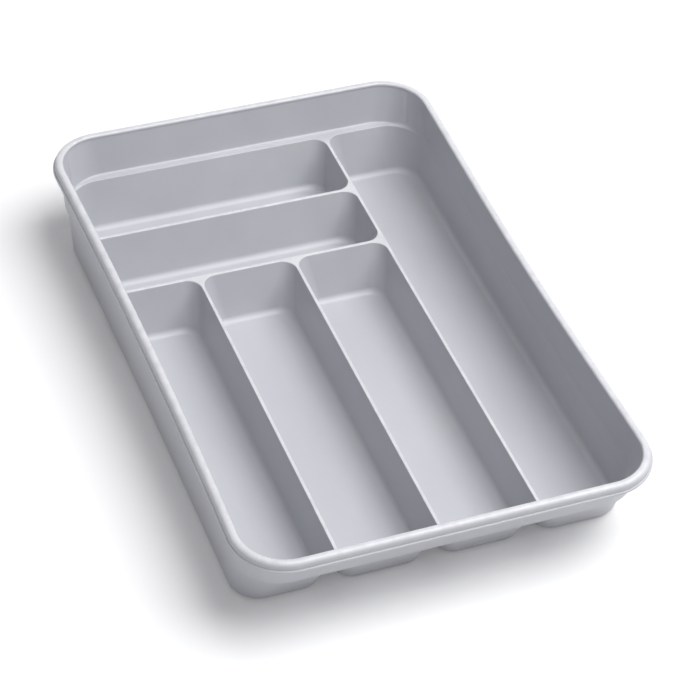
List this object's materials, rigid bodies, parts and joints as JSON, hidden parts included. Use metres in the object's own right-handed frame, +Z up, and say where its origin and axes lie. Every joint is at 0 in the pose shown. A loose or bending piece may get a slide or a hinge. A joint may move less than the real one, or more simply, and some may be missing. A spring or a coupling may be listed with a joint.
{
  "type": "cutlery tray",
  "caption": "Shallow rectangular drawer tray with a turned-down rim, rounded drafted cups hung from a level land, dividers hollow from below, and small soft feet.",
  "frame": {"origin": "middle of the rectangle that the tray covers, on the surface that it stands on", "axes": "+X to the right across the tray, towards the long cup; +Y along the tray to the back, towards the two crosswise cups; +Z up"},
  "size_m": [0.2558, 0.3928, 0.0577],
  "materials": {
    "tray_plastic": "light silver-grey injection-moulded plastic, satin to semi-gloss, with a faint cool tint",
    "foot_rubber": "matt dark grey soft rubber"
  },
  "bodies": {
    "root": {"tray_moulding": "tray_plastic", "foot_front_left": "foot_rubber", "foot_front_right": "foot_rubber", "foot_back_left": "foot_rubber", "foot_back_right": "foot_rubber"}
  },
  "joints": []
}
